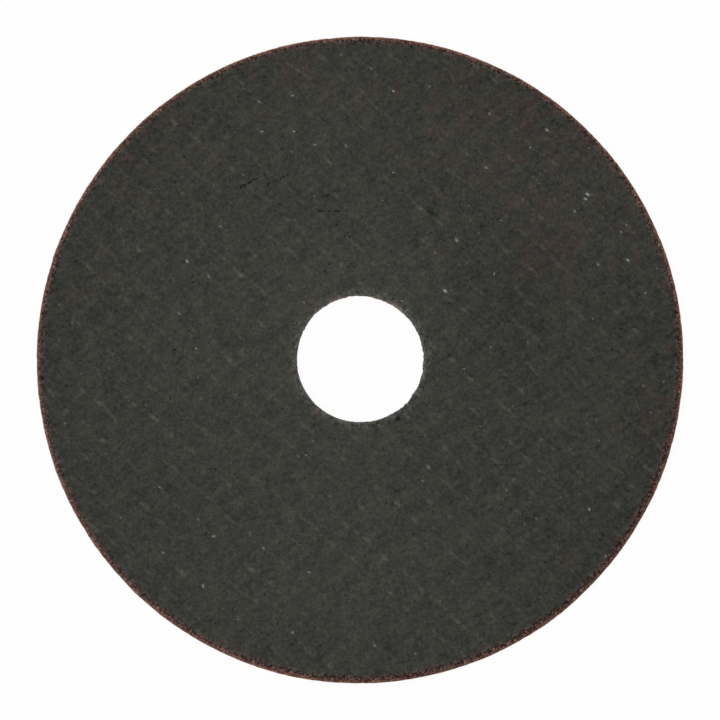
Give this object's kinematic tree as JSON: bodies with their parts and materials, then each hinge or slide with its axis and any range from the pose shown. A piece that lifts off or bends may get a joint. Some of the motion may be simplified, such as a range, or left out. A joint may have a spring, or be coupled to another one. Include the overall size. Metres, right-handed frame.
{
  "type": "cut off wheel",
  "caption": "Thin flat abrasive wheel with a plain round arbor bore, dark fibre-reinforced faces and a brown grit rim, for cutting metal on an angle grinder.",
  "frame": {"origin": "on the bore's axis, at the lower flat face that the wheel lies on", "axes": "+Z along the bore's axis, out of the upper face; X and Y lie in the wheel's plane"},
  "size_m": [0.115, 0.115, 0.0016],
  "materials": {
    "facing": "matte",
    "abrasive": "matte"
  },
  "bodies": {
    "root": {"wheel": "facing"}
  },
  "joints": []
}
